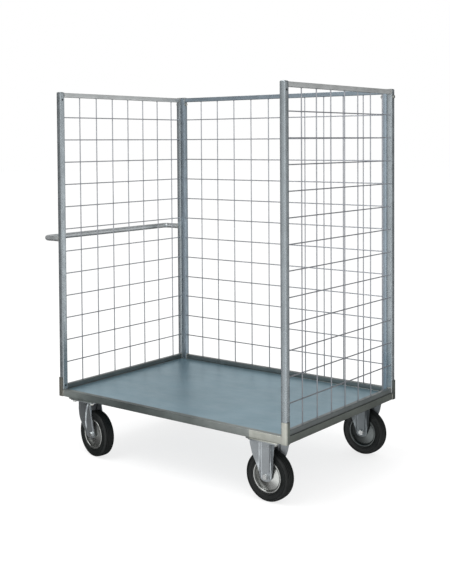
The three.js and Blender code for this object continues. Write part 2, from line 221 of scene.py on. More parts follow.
def tinted(colour, amount):
    return tuple(min(1, channel * amount) for channel in colour)


def zinc(name, colour, metallic, roughness, contrast, stretch=(1, 1, 1), low=1.0):
    """Zinc plating: soft clouding, a fine grain drawn along the tube, uneven gloss.

    The tone falls to the share `low` from 0.8 m down to 0.3 m above the floor.
    """
    mat, tree, bsdf = new_material(name, metallic, roughness)
    clouds = noise(tree, 9, 4, roughness=0.6)
    grain = noise(tree, 260, 2, stretch)
    tones = [(0.3, tinted(colour, 1 - contrast)), (0.52, colour), (0.7, tinted(colour, 1 + contrast))]
    base = ramp(tree, clouds, tones)
    streaks = ramp(tree, grain, [(0.35, (0.9, 0.9, 0.9)), (0.65, (1, 1, 1))])
    base = mix(tree, "MULTIPLY", 0.8, base, streaks)
    fade = spread(tree, coordinates(tree)["Z"], low, 1.0, 0.3, 0.8)
    tree.links.new(mix(tree, "MULTIPLY", 1.0, base, fade), bsdf.inputs["Base Color"])
    gloss = noise(tree, 24, 3)
    tree.links.new(spread(tree, gloss, roughness - 0.06, roughness + 0.08), bsdf.inputs["Roughness"])
    bump(tree, bsdf, [(grain, 0.06, 0.0002), (noise(tree, 55, 2), 0.05, 0.0005)])
    return mat


def frame_zinc():
    """Zinc on the welded frame: tone drifts along the rails, and one front corner has a paler patch."""
    mat, tree, bsdf = new_material("frame_zinc", 0.92, 0.4)
    colour = (0.31, 0.335, 0.325)
    clouds = noise(tree, 7, 4, roughness=0.62)
    base = ramp(tree, clouds, [(0.3, tinted(colour, 0.82)), (0.5, colour), (0.7, tinted(colour, 1.2))])
    point = coordinates(tree)
    half = LENGTH / 2000
    along = spread(tree, point["X"], 0.0, 1.0, SHIFT - half, SHIFT + half)
    drift = ramp(tree, along, [
        (0.0, (0.8, 0.72, 0.65)), (0.016, (0.85, 0.77, 0.7)), (0.02, (1, 1, 1)), (0.08, (0.95, 0.98, 0.97)),
        (0.14, (0.62, 0.65, 0.65)), (0.34, (0.34, 0.37, 0.37)), (0.6, (0.66, 0.69, 0.69)),
        (0.75, (1, 1, 1)), (0.978, (1, 1, 1)), (0.98, (0.5, 0.51, 0.48)),
    ])
    base = mix(tree, "MULTIPLY", 1.0, base, drift)
    paler_patch = ramp(tree, noise(tree, 30, 3), [(0.35, (0.52, 0.53, 0.475)), (0.65, (0.62, 0.63, 0.575))])
    ragged = combine(tree, "MULTIPLY", noise(tree, 60, 3), 0.004)
    ragged = combine(tree, "ADD", point["X"], ragged)
    patch_length = 0.173
    edge = SHIFT + half - patch_length
    corner = spread(tree, ragged, 0.0, 0.85, edge, edge + 0.002)
    front_face = -WIDTH / 2000
    front = spread(tree, point["Y"], 1.0, 0.0, front_face + 0.0015, front_face + 0.004)
    mask = combine(tree, "MULTIPLY", corner, front)
    tree.links.new(mix(tree, "MIX", mask, base, paler_patch), bsdf.inputs["Base Color"])
    tree.links.new(spread(tree, noise(tree, 20, 3), 0.34, 0.5), bsdf.inputs["Roughness"])
    bump(tree, bsdf, [(noise(tree, 240, 2), 0.12, 0.0002), (noise(tree, 50, 3), 0.2, 0.0008)])
    return mat


def deck_zinc():
    """Cold-rolled zinc-coated sheet: faint rolling streaks and slow waves that soften reflections."""
    mat, tree, bsdf = new_material("deck_zinc", 0.8, 0.34)
    colour = (0.245, 0.372, 0.435)
    clouds = noise(tree, 2.6, 4, roughness=0.55)
    base = ramp(tree, clouds, [(0.3, tinted(colour, 0.9)), (0.5, colour), (0.72, tinted(colour, 1.1))])
    rolling = noise(tree, 90, 3, (0.05, 1, 1))
    streaks = ramp(tree, rolling, [(0.3, (0.93, 0.94, 0.95)), (0.7, (1, 1, 1))])
    tree.links.new(mix(tree, "MULTIPLY", 0.9, base, streaks), bsdf.inputs["Base Color"])
    scuffs = noise(tree, 14, 6, (0.6, 1, 1), 0.7)
    tree.links.new(spread(tree, scuffs, 0.3, 0.42), bsdf.inputs["Roughness"])
    bump(tree, bsdf, [(noise(tree, 3.5, 1), 0.25, 0.004), (rolling, 0.1, 0.0002)])
    return mat


def tyre_rubber():
    """Black solid rubber with moulding texture and a dusty sheen."""
    mat, tree, bsdf = new_material("tyre_rubber", 0.0, 0.5)
    dust = noise(tree, 18, 5, roughness=0.65)
    base = ramp(tree, dust, [
        (0.35, (0.004, 0.0055, 0.0053)), (0.6, (0.007, 0.009, 0.0088)), (0.8, (0.014, 0.017, 0.0165)),
    ])
    tree.links.new(base, bsdf.inputs["Base Color"])
    bsdf.inputs["Specular IOR Level"].default_value = 0.3
    tree.links.new(spread(tree, noise(tree, 40, 3), 0.4, 0.58), bsdf.inputs["Roughness"])
    bump(tree, bsdf, [(noise(tree, 600, 2), 0.15, 0.0003)])
    return mat


# Colour, metal share, roughness, clouding, and where they differ the grain's stretch and `low`.
ZINC_LOOKS = {
    "panel_zinc": ((0.4, 0.445, 0.47), 0.88, 0.26, 0.1, (1, 1, 0.04)),
    "rail_zinc": ((0.58, 0.6, 0.6), 0.75, 0.36, 0.08),
    "rear_zinc": ((0.3, 0.36, 0.41), 0.85, 0.3, 0.1, (1, 1, 0.04)),
    # Bottom rails: a dark copy of the panel zinc, painted shade at the foot of the panels.
    "shaded_bottom_rail_zinc": ((0.17, 0.19, 0.19), 0.8, 0.36, 0.12, (0.04, 1, 1)),
    "wire_zinc": ((0.45, 0.465, 0.5), 0.85, 0.34, 0.08, (1, 1, 1), 0.65),
    "handle_zinc": ((0.6, 0.63, 0.64), 0.8, 0.32, 0.08, (1, 0.05, 1)),
    "bolt_zinc": ((0.6, 0.61, 0.58), 0.95, 0.26, 0.08),
    "nut_zinc": ((0.62, 0.64, 0.64), 0.9, 0.26, 0.08),
    "castor_zinc": ((0.4, 0.43, 0.45), 0.85, 0.3, 0.12),
    # Rear rigid fork: a darker copy of the castor zinc, painted shade under the platform.
    "shaded_castor_zinc": ((0.17, 0.19, 0.2), 0.85, 0.34, 0.1),
    "rim_zinc": ((0.36, 0.37, 0.36), 0.9, 0.22, 0.08),
    # Rear rims: a darker copy of the rim zinc, painted shade from the platform above them.
    "shaded_rim_zinc": ((0.1, 0.11, 0.11), 0.9, 0.3, 0.1),
    "weld_zinc": ((0.42, 0.42, 0.39), 0.7, 0.45, 0.25),
}

materials = {name: zinc(name, *look) for name, look in ZINC_LOOKS.items()}
materials["frame_zinc"] = frame_zinc()
materials["deck_zinc"] = deck_zinc()
materials["tyre_rubber"] = tyre_rubber()


# ---------------------------------------------------------------- mesh building

def at(axis, across, up, along):
    """A point from its two section coordinates and its place along the axis."""
    if axis == "x":
        return Vector((along, across, up))
    if axis == "y":
        return Vector((across, along, up))
    return Vector((across, up, along))


def bridge(bm, first, second, closed=True):
    count = len(first)
    for k in range(count if closed else count - 1):
        following = (k + 1) % count
        quad = [first[k], first[following], second[following], second[k]]
        corners = list(dict.fromkeys(quad))
        if len(corners) > 2:
            bm.faces.new(corners)


def rounded_rectangle(width, height, radius, steps=5):
    points = []
    for sx, sy, start in ((1, 1, 0), (-1, 1, 90), (-1, -1, 180), (1, -1, 270)):
        for k in range(steps + 1):
            turn = math.radians(start + 90 * k / steps)
            points.append((
                sx * (width / 2 - radius) + radius * math.cos(turn),
                sy * (height / 2 - radius) + radius * math.sin(turn),
            ))
    return points


def tube(bm, axis, length, width, height, wall, radius, centre):
    """Square tube with rounded corners, a drawn bore and slightly eased ends."""
    middle = Vector(centre)
    eased = 0.5
    sections = (
        (rounded_rectangle(width, height, radius), length / 2 - eased),
        (rounded_rectangle(width - 2 * eased, height - 2 * eased, radius - eased), length / 2),
        (rounded_rectangle(width - 2 * wall, height - 2 * wall, radius - wall + 1), length / 2),
    )
    stations = [(outline, -along) for outline, along in reversed(sections)]
    stations += [(outline, along) for outline, along in sections]
    rings = [
        [bm.verts.new(at(axis, a, b, along) + middle) for a, b in outline]
        for outline, along in stations
    ]
    for first, second in zip(rings, rings[1:] + rings[:1]):
        bridge(bm, first, second)


def lathe(bm, axis, profile, centre, sides, closed=False):
    """Turns (radius, along) points about an axis; a zero radius closes the end."""
    middle = Vector(centre)
    rings = []
    for radius, along in profile:
        if radius == 0:
            rings.append([bm.verts.new(at(axis, 0, 0, along) + middle)] * sides)
            continue
        ring = []
        for k in range(sides):
            turn = 2 * math.pi * k / sides
            point = at(axis, radius * math.cos(turn), radius * math.sin(turn), along)
            ring.append(bm.verts.new(point + middle))
        rings.append(ring)
    following = rings[1:] + rings[:1] if closed else rings[1:]
    for first, second in zip(rings, following):
        bridge(bm, first, second)


def hexagon(bm, axis, flats, height, centre, outward):
    """Chamfered hexagonal head or nut standing on its seat at centre, facing outward (+1 or -1)."""
    sides = 36
    bevel_radius = flats / 2 * 1.06
    levels = ([], [], [], [])
    for k in range(sides):
        turn = 2 * math.pi * k / sides
        from_flat = (turn + math.pi / 6) % (math.pi / 3) - math.pi / 6
        edge = flats / 2 / math.cos(from_flat)
        top = min(edge, bevel_radius)
        drop = (edge - top) * 0.6
        shoulder = height - drop - 0.2
        places = ((edge, 0), (edge, shoulder), (top, height), (top * 0.55, height))
        for level, (radius, along) in zip(levels, places):
            point = at(axis, radius * math.cos(turn), radius * math.sin(turn), outward * along)
            level.append(bm.verts.new(point + Vector(centre)))
    for first, second in zip(levels, levels[1:]):
        bridge(bm, first, second)
    bm.faces.new(levels[0])
    bm.faces.new(levels[3])


def washer(bm, axis, radius, thickness, centre, outward):
    profile = [
        (0, 0), (radius - 0.3, 0), (radius, 0.3),
        (radius, thickness - 0.4), (radius - 0.4, thickness), (0, thickness),
    ]
    lathe(bm, axis, [(r, outward * along) for r, along in profile], centre, 28)


def thread_end(bm, axis, radius, length, centre, outward):
    """Threaded stub: shallow ridges and a chamfered tip."""
    profile = [(radius, 0)]
    along = 0.6
    while along < length - 1.2:
        profile += [(radius - 0.35, along), (radius, along + 0.5)]
        along += 1.0
    profile += [(radius - 0.9, length), (0, length)]
    lathe(bm, axis, [(r, outward * t) for r, t in profile], centre, 20)


def prism(bm, outline, height, base, bevel):
    """Plate cut to an outline in XY, standing on base, with eased edges."""
    origin = Vector(base)
    lower = [bm.verts.new(Vector((x, y, 0)) + origin) for x, y in outline]
    upper = [bm.verts.new(Vector((x, y, height)) + origin) for x, y in outline]
    faces = [bm.faces.new(lower), bm.faces.new(upper)]
    bridge(bm, lower, upper)
    rims = list({edge for face in faces for edge in face.edges})
    bmesh.ops.bevel(bm, geom=rims, offset=bevel, segments=2, profile=0.5, affect="EDGES")


def lump(bm, centre, size, rings, sides):
    """Flattened nugget of weld metal."""
    cx, cy, cz = centre
    matrix = Matrix.Translation((cx, cy, cz)) @ Matrix.Diagonal((*size, 1))
    bmesh.ops.create_uvsphere(bm, u_segments=sides, v_segments=rings, radius=1, matrix=matrix)


def bead(bm, points, radius, closed=False):
    """Weld bead along a path, rippled like overlapping scales."""
    path = [Vector(point) for point in points]
    dense = []
    count = len(path)
    for k in range(count if closed else count - 1):
        start, end = path[k], path[(k + 1) % count]
        steps = max(1, round((end - start).length / 1.6))
        dense += [start.lerp(end, step / steps) for step in range(steps)]
    if not closed:
        dense.append(path[-1])
    total = len(dense)
    sides = 8
    rings = []
    for k, point in enumerate(dense):
        before = dense[k - 1] if closed or k > 0 else point
        after = dense[(k + 1) % total] if closed or k < total - 1 else point
        tangent = (after - before).normalized()
        helper = Vector((0.31, 0.52, 0.79)) if abs(tangent.z) < 0.9 else Vector((1, 0, 0))
        first = tangent.cross(helper).normalized()
        second = tangent.cross(first)
        ripple = 1 + 0.1 * math.sin(k * 1.9) + 0.05 * math.sin(k * 0.7)
        taper = 1 if closed else min(1, 0.35 + 0.3 * min(k, total - 1 - k))
        reach = radius * ripple * taper
        rings.append([
            bm.verts.new(point + reach * (first * math.cos(turn) + second * math.sin(turn)))
            for turn in (2 * math.pi * side / sides for side in range(sides))
        ])
    pairs = zip(rings, rings[1:] + rings[:1]) if closed else zip(rings, rings[1:])
    for first, second in pairs:
        bridge(bm, first, second)
    if not closed:
        bm.faces.new(rings[0])
        bm.faces.new(rings[-1])


def swept_tube(bm, points, tangents, radius, sides=28):
    """Round tube along a path in a level plane."""
    rings = []
    for point, tangent in zip(points, tangents):
        side = Vector((-tangent.y, tangent.x, 0))
        rings.append([
            bm.verts.new(point + radius * (side * math.cos(turn) + Vector((0, 0, math.sin(turn)))))
            for turn in (2 * math.pi * k / sides for k in range(sides))
        ])
    for first, second in zip(rings, rings[1:]):
        bridge(bm, first, second)
    bm.faces.new(rings[0])
    bm.faces.new(rings[-1])


def piece(name, bm, finish, body, nodes=(), turn=0.0, origin=(0, 0), sharp=32):
    """Finishes a mesh: turned about its own origin, put in place and tied to the CAD."""
    bmesh.ops.remove_doubles(bm, verts=bm.verts, dist=1e-4)
    bmesh.ops.recalc_face_normals(bm, faces=bm.faces)
    place = Matrix.Translation((SHIFT, 0, 0)) @ Matrix.Scale(0.001, 4)
    place = place @ Matrix.Translation((*origin, 0)) @ Matrix.Rotation(turn, 4, "Z")
    bmesh.ops.transform(bm, matrix=place, verts=bm.verts)
    limit = math.radians(sharp)
    for face in bm.faces:
        face.smooth = True
    for edge in bm.edges:
        if len(edge.link_faces) == 2:
            edge.smooth = edge.calc_face_angle(0) < limit
    mesh = bpy.data.meshes.new(name)
    bm.to_mesh(mesh)
    bm.free()
    mesh.materials.append(materials[finish])
    obj = bpy.data.objects.new(name, mesh)
    bpy.context.scene.collection.objects.link(obj)
    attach(obj, body)
    if nodes:
        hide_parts(*nodes)


def shape():
    return bmesh.new()


# ---------------------------------------------------------------- platform

def frame_rail(name, axis, length, x, y):
    bm = shape()
    tube(bm, axis, length, POST, FRAME_HEIGHT, FRAME_WALL, TUBE_ROUND, (x, y, FRAME_MIDDLE))
    piece(name, bm, "frame_zinc", "platform", [name])


frame_rail("frame_rail_front", "x", LENGTH, 0, -POST_Y)
frame_rail("frame_rail_rear", "x", LENGTH, 0, POST_Y)
frame_rail("frame_rail_left", "y", INNER_WIDTH, -POST_X, 0)
frame_rail("frame_rail_right", "y", INNER_WIDTH, POST_X, 0)

BEARERS = {
    "cross_bearer_left_outer": SWIVEL_X - PLATE_BOLT_X,
    "cross_bearer_left_inner": SWIVEL_X + PLATE_BOLT_X,
    "cross_bearer_right_inner": RIGID_X - PLATE_BOLT_X,
    "cross_bearer_right_outer": RIGID_X + PLATE_BOLT_X,
}


def cross_bearer(name, x):
    """Flat tube over one row of castor bolts, lower than the frame to leave room for the deck."""
    height = FRAME_HEIGHT - BEARER_DROP
    bm = shape()
    tube(bm, "y", INNER_WIDTH, BEARER_WIDTH, height, FRAME_WALL, 3, (x, 0, FRAME_BOTTOM + height / 2))
    piece(name, bm, "frame_zinc", "platform", [name])


for name, x in BEARERS.items():
    cross_bearer(name, x)


def deck():
    """Sheet with its edges rolled down, so a fine groove runs round it inside the frame."""
    low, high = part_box("deck_sheet")
    length = (high.x - low.x) * 1000
    width = (high.y - low.y) * 1000
    top = high.z * 1000
    bm = shape()
    rings = []
    radius = 2.8
    underside = 2.9

    def ring(inset, drop):
        outline = rounded_rectangle(length - 2 * inset, width - 2 * inset, 6, 3)
        rings.append([bm.verts.new((x, y, top - drop)) for x, y in outline])

    for k in range(5):
        turn = math.radians(90 * k / 4)
        ring(radius * math.sin(turn), radius * (1 - math.cos(turn)))
    ring(radius, underside)
    for first, second in zip(rings, rings[1:]):
        bridge(bm, first, second)
    bm.faces.new(rings[0])
    bm.faces.new(rings[-1])
    piece("deck_sheet", bm, "deck_zinc", "platform", ["deck_sheet"])


deck()


def corner_angle(name, sx, sy):
    """Folded angle with a rounded bend outside and eased edges."""
    inside = GAP
    outside = GAP + ANGLE_SHEET
    leg = ANGLE_LEG
    bend = ANGLE_SHEET
    fillet = 0.2
    outline = [
        (-leg, outside), (-leg, inside), (inside - fillet, inside),
        (inside, inside - fillet), (inside, -leg), (outside, -leg),
    ]
    for k in range(6):
        turn = math.radians(90 * k / 5)
        outline.append((outside - bend + bend * math.cos(turn), outside - bend + bend * math.sin(turn)))
    bm = shape()
    prism(bm, outline, ANGLE_HEIGHT, (0, 0, FRAME_BOTTOM), 0.5)
    quarters = {(1, 1): 0, (-1, 1): 1, (-1, -1): 2, (1, -1): 3}
    turn = quarters[(sx, sy)] * math.pi / 2
    piece(name, bm, "frame_zinc", "platform", [name], turn, (sx * LENGTH / 2, sy * WIDTH / 2))


for row, sy in (("front", -1), ("rear", 1)):
    for side, sx in (("left", -1), ("right", 1)):
        corner_angle(f"corner_angle_{row}_{side}", sx, sy)


def frame_welds():
    """Beads where the corner angles and the end rails meet the long rails."""
    low = FRAME_BOTTOM + 3
    high = FRAME_TOP - 3
    proud = 0.6
    foot = ANGLE_LEG + proud
    bearer_half = 12
    bm = shape()
    for sx in (-1, 1):
        for sy in (-1, 1):
            x, y = sx * LENGTH / 2, sy * WIDTH / 2
            for bx, by in ((x - sx * foot, y + sy * proud), (x + sx * proud, y - sy * foot)):
                bead(bm, [(bx, by, low), (bx, by, high)], 1.6)
            inner = y - sy * POST
            for z in (FRAME_TOP - 0.2, FRAME_BOTTOM + proud):
                bead(bm, [(x - sx * 4, inner, z), (x - sx * 22, inner, z)], 1.3)
    for x in BEARERS.values():
        for sy in (-1, 1):
            y = sy * (WIDTH / 2 - POST - 0.4)
            z = FRAME_BOTTOM + 0.8
            bead(bm, [(x - bearer_half, y, z), (x + bearer_half, y, z)], 1.2)
    piece("frame_welds", bm, "weld_zinc", "platform")


frame_welds()


# ---------------------------------------------------------------- mesh panels

def drilled(bm, x, y, heights):
    """Cross holes through a post along X."""
    mesh = bpy.data.meshes.new("drill")
    cutter = shape()
    for z in heights:
        profile = [(0, -16), (HOLE_RADIUS, -16), (HOLE_RADIUS, 16), (0, 16)]
        lathe(cutter, "x", profile, (x, y, z), 24)
    bmesh.ops.recalc_face_normals(cutter, faces=cutter.faces)
    cutter.to_mesh(mesh)
    cutter.free()
    tool = bpy.data.objects.new("drill", mesh)
    body_mesh = bpy.data.meshes.new("undrilled")
    bmesh.ops.recalc_face_normals(bm, faces=bm.faces)
    bm.to_mesh(body_mesh)
    bm.free()
    target = bpy.data.objects.new("undrilled", body_mesh)
    for obj in (tool, target):
        bpy.context.scene.collection.objects.link(obj)
    cut = target.modifiers.new("cut", "BOOLEAN")
    cut.operation = "DIFFERENCE"
    cut.solver = "EXACT"
    cut.object = tool
    graph = bpy.context.evaluated_depsgraph_get()
    result = bpy.data.meshes.new_from_object(target.evaluated_get(graph))
    out = shape()
    out.from_mesh(result)
    for obj in (tool, target):
        bpy.data.objects.remove(obj)
    for spare in (mesh, body_mesh, result):
        bpy.data.meshes.remove(spare)
    return out


def post(name, x, y, finish="panel_zinc"):
    bm = shape()
    length = POST_TOP - POST_BOTTOM
    tube(bm, "z", length, POST, POST, POST_WALL, TUBE_ROUND, (x, y, POST_BOTTOM + length / 2))
    bm = drilled(bm, x, y, (BOLT_Z, LOW_HOLE_Z))
    piece(name, bm, finish, "platform", [name])


def post_cap(name, x, y):
    """Cap on the post's end: a plug inside the tube, a short lip and a domed top."""
    base = POST_TOP + GAP
    plug_width = POST - 6
    plug_depth = 3
    lip = 0.4
    dome = 4.5
    rounding = 6.5
    bm = shape()
    rings = []

    def ring(width, radius, z):
        outline = rounded_rectangle(width, width, radius)
        rings.append([bm.verts.new((x + a, y + b, z)) for a, b in outline])

    ring(plug_width, 2, base - plug_depth)
    ring(plug_width, 2, base)
    ring(POST, TUBE_ROUND, base)
    for k in range(6):
        turn = math.radians(90 * k / 5)
        inset = rounding * (1 - math.cos(turn))
        ring(POST - 2 * inset, TUBE_ROUND + inset * 0.25, base + lip + dome * math.sin(turn))
    for first, second in zip(rings, rings[1:]):
        bridge(bm, first, second)
    bm.faces.new(rings[0])
    bm.faces.new(rings[-1])
    piece(name, bm, "panel_zinc", "platform", [name], sharp=50)


def panel_rail(name, axis, length, x, y, z, finish="panel_zinc"):
    bm = shape()
    tube(bm, axis, length, RAIL, RAIL, RAIL_WALL, 2.2, (x, y, z))
    piece(name, bm, finish, "platform", [name])


def wire_mesh(name, axis, centre, span, columns, pitch, first, flip):
    """Round wires in two layers, with flattened weld nuggets at the crossings and ends.

    Columns stand on the flip side of the panel's middle plane and rows on the other side.
    """
    low = BOTTOM_RAIL_Z + RAIL / 2 + GAP
    high = TOP_RAIL_Z - RAIL / 2 - GAP
    half = span / 2 - POST / 2 - GAP
    across = LAYER_OFFSET * flip
    bm = shape()

    def put(along, depth, z):
        point = Vector(centre)
        if axis == "y":
            return point + Vector((depth, along, z))
        return point + Vector((along, depth, z))

    def rod(vertical, offset, depth, start, end):
        profile = [(WIRE_RADIUS, start), (WIRE_RADIUS, end)]
        direction = "z" if vertical else axis
        origin = put(offset, depth, 0) if vertical else put(0, depth, offset)
        lathe(bm, direction, profile, origin, 12)

    offsets = [first + k * pitch for k in range(columns)]
    levels = [TOP_RAIL_Z - ROW_PITCH * k for k in range(1, ROWS + 1)]
    for offset in offsets:
        rod(True, offset, across, low - 0.2, high + 0.2)
    for z in levels:
        rod(False, z, -across, -half - 0.2, half + 0.2)
    inset = 0.6
    crossing = (1.7, 3.4, 3.4) if axis == "y" else (3.4, 1.7, 3.4)
    column_end = (3.6, 3.6, 1.8)
    for offset in offsets:
        for z in levels:
            lump(bm, put(offset, 0, z), crossing, 4, 8)
        for z in (low + inset, high - inset):
            lump(bm, put(offset, across, z), column_end, 5, 10)
    row_end = (3.6, 1.8, 3.6) if axis == "y" else (1.8, 3.6, 3.6)
    for z in levels:
        for end in (-half + inset, half - inset):
            lump(bm, put(end, -across, z), row_end, 5, 10)
    piece(name, bm, "wire_zinc", "platform", [name], sharp=60)


def rail_welds(name, axis, x, y, half):
    """Beads round the ends of the two rails where they meet the posts."""
    bm = shape()
    for z in (TOP_RAIL_Z, BOTTOM_RAIL_Z):
        for end in (-half, half):
            outline = rounded_rectangle(RAIL + 0.6, RAIL + 0.6, 3, 2)
            if axis == "y":
                path = [(x + a, y + end, z + b) for a, b in outline]
            else:
                path = [(x + end, y + a, z + b) for a, b in outline]
            bead(bm, path, 1.5, closed=True)
    piece(name, bm, "weld_zinc", "platform")


def end_panel(side, x):
    inner = POST_Y - POST / 2 - GAP
    places = {"front": -POST_Y, "rear": POST_Y}
    for row, y in places.items():
        post(f"{side}_post_{row}", x, y)
    for row, y in places.items():
        post_cap(f"{side}_post_cap_{row}", x, y)
    panel_rail(f"{side}_top_rail", "y", 2 * inner, x, 0, TOP_RAIL_Z, "rail_zinc")
    # The bottom rail takes the dark copy: painted shade at the foot of the panel.
    panel_rail(f"{side}_bottom_rail", "y", 2 * inner, x, 0, BOTTOM_RAIL_Z, "shaded_bottom_rail_zinc")
    wire_mesh(f"{side}_mesh", "y", (x, 0, 0), 2 * POST_Y, END_COLUMNS, END_PITCH, END_FIRST, -1)
    rail_welds(f"{side}_panel_welds", "y", x, 0, inner)


def rear_panel():
    inner = REAR_POST_X - POST / 2 - GAP
    y = POST_Y
    places = {"left": -REAR_POST_X, "right": REAR_POST_X}
    for side, x in places.items():
        post(f"rear_post_{side}", x, y, "rear_zinc")
    for side, x in places.items():
        post_cap(f"rear_post_cap_{side}", x, y)
    panel_rail("rear_top_rail", "x", 2 * inner, 0, y, TOP_RAIL_Z, "rear_zinc")
    # The bottom rail takes the dark copy: painted shade at the foot of the panel.
    panel_rail("rear_bottom_rail", "x", 2 * inner, 0, y, BOTTOM_RAIL_Z, "shaded_bottom_rail_zinc")
    first = -(REAR_COLUMNS - 1) / 2 * REAR_PITCH
    wire_mesh("rear_mesh", "x", (0, y, 0), 2 * REAR_POST_X, REAR_COLUMNS, REAR_PITCH, first, 1)
    rail_welds("rear_panel_welds", "x", 0, y, inner)


end_panel("left", -POST_X)
end_panel("right", POST_X)
rear_panel()


def tie_bolt(name, sign):
    """Bolt through the twin rear posts: washer and head outside, washer and nut inside."""
    outer = sign * (LENGTH / 2 + GAP)
    inner = sign * (REAR_POST_X - POST / 2 - GAP)
    washer_radius = 8.5
    washer_sheet = 1.2
    flats = 13
    head = (outer + sign * washer_sheet, POST_Y, BOLT_Z)
    nut = (inner - sign * washer_sheet, POST_Y, BOLT_Z)
    bm = shape()
    lathe(bm, "x", [(0, outer), (4, outer), (4, inner), (0, inner)], (0, POST_Y, BOLT_Z), 20)
    washer(bm, "x", washer_radius, washer_sheet, (outer, POST_Y, BOLT_Z), sign)
    hexagon(bm, "x", flats, 4.6, head, sign)
    washer(bm, "x", washer_radius, washer_sheet, (inner, POST_Y, BOLT_Z), -sign)
    hexagon(bm, "x", flats, 5, nut, -sign)
    thread_end(bm, "x", 3.9, 9, nut, -sign)
    piece(name, bm, "bolt_zinc", "platform", [name])


tie_bolt("tie_bolt_left", -1)
tie_bolt("tie_bolt_right", 1)


def push_handle():
    """Round tube bent at both corners, with its ends welded to the end posts."""
    bend = HANDLE_BEND
    steps = 12
    straight = 25
    bar_x = -(POST_X + HANDLE_REACH)
    start_x = -(LENGTH / 2 + GAP)
    points = [Vector((start_x, -POST_Y, HANDLE_Z)), Vector((start_x - straight, -POST_Y, HANDLE_Z))]
    tangents = [Vector((-1, 0, 0)), Vector((-1, 0, 0))]
    for sign in (-1, 1):
        centre = Vector((bar_x + bend, sign * (POST_Y - bend), HANDLE_Z))
        for step in range(steps + 1):
            along = step / steps * math.pi / 2
            turn = math.pi * 1.5 - along if sign < 0 else math.pi - along
            points.append(centre + bend * Vector((math.cos(turn), math.sin(turn), 0)))
            tangents.append(Vector((math.sin(turn), -math.cos(turn), 0)))
    points += [Vector((start_x - straight, POST_Y, HANDLE_Z)), Vector((start_x, POST_Y, HANDLE_Z))]
    tangents += [Vector((1, 0, 0)), Vector((1, 0, 0))]
    bm = shape()
    swept_tube(bm, points, tangents, HANDLE_RADIUS)
    piece("push_handle", bm, "handle_zinc", "platform", ["push_handle"])
    weld_radius = HANDLE_RADIUS + 0.4
    pulled_in = HANDLE_RADIUS - 0.2
    welds = shape()
    for sign in (-1, 1):
        ring = []
        for k in range(24):
            turn = 2 * math.pi * k / 24
            # The post is as wide as the tube, so the ring is pulled in at its two edges.
            reach = pulled_in if abs(math.cos(turn)) > 0.93 else weld_radius
            y = sign * POST_Y + reach * math.cos(turn)
            ring.append((start_x - 0.2, y, HANDLE_Z + weld_radius * math.sin(turn)))
        bead(welds, ring, 1.8, closed=True)
    piece("push_handle_welds", welds, "weld_zinc", "platform")


push_handle()


# ---------------------------------------------------------------- castors

def blend_points(points, z):
    """Value of a side outline at height z, from (z, x) points listed from the top down."""
    if z >= points[0][0]:
        return points[0][1]
    for (z0, x0), (z1, x1) in zip(points, points[1:]):
        if z >= z1:
            return x0 + (x1 - x0) * (z0 - z) / (z0 - z1)
    return points[-1][1]


def ease(value):
    value = max(0.0, min(1.0, value))
    return value * value * (3 - 2 * value)


def pressed_fork(bm, crown_top, bend, left, right, relief):
    """U-shaped pressing: two legs joined over the wheel by a crown with rounded shoulders.

    left and right give the edges by height, relief(x, z) is how far the sheet is pressed
    outward there, and each leg ends in half an ellipse below the axle.
    """
    outside = LEG_OUTSIDE
    stations = []
    for k in range(7):
        turn = math.radians(90 * k / 6)
        stations.append((-outside, AXLE_Z - LEG_END_DROP * math.cos(turn), -1, 0))
    leg_steps = 22
    top_of_leg = crown_top - bend
    for k in range(1, leg_steps + 1):
        stations.append((-outside, AXLE_Z + (top_of_leg - AXLE_Z) * k / leg_steps, -1, 0))
    for k in range(1, 7):
        turn = math.radians(90 * k / 6)
        stations.append((
            -outside + bend - bend * math.cos(turn),
            top_of_leg + bend * math.sin(turn),
            -math.cos(turn),
            math.sin(turn),
        ))
    for k in range(1, 4):
        stations.append(((-outside + bend) * (1 - k / 4), crown_top, 0, 1))
    stations.append((0, crown_top, 0, 1))
    far_side = [(-y, z, -ny, nz) for y, z, ny, nz in reversed(stations[:-1])]
    columns = 56
    end_middle = (left[-1][1] + right[-1][1]) / 2
    end_half = (right[-1][1] - left[-1][1]) / 2
    rows = {1: [], -1: []}
    for y, z, ny, nz in stations + far_side:
        below = AXLE_Z - z
        if below > 0:
            half = max(0.02, math.sqrt(max(0.0, 1 - (below / LEG_END_DROP) ** 2))) * end_half
            x0, x1 = end_middle - half, end_middle + half
        else:
            x0, x1 = blend_points(left, z), blend_points(right, z)
        outer_row, inner_row = [], []
        for k in range(columns + 1):
            x = x0 + (x1 - x0) * k / columns
            pressed = relief(x, z) * abs(ny)
            outer_row.append(bm.verts.new((x, y + ny * pressed, z + nz * pressed)))
            depth = pressed - LEG_SHEET
            inner_row.append(bm.verts.new((x, y + ny * depth, z + nz * depth)))
        rows[1].append(outer_row)
        rows[-1].append(inner_row)
    for grid in rows.values():
        for first, second in zip(grid, grid[1:]):
            bridge(bm, first, second, closed=False)
    for outer_row, inner_row in ((rows[1][0], rows[-1][0]), (rows[1][-1], rows[-1][-1])):
        bridge(bm, outer_row, inner_row, closed=False)
    for k in (0, columns):
        outer_edge = [row[k] for row in rows[1]]
        inner_edge = [row[k] for row in rows[-1]]
        bridge(bm, outer_edge, inner_edge, closed=False)


def castor_plate(bm):
    outline = rounded_rectangle(PLATE_LENGTH, PLATE_WIDTH, 9, 5)
    prism(bm, outline, PLATE_SHEET, (0, 0, PLATE_TOP - PLATE_SHEET), 0.7)


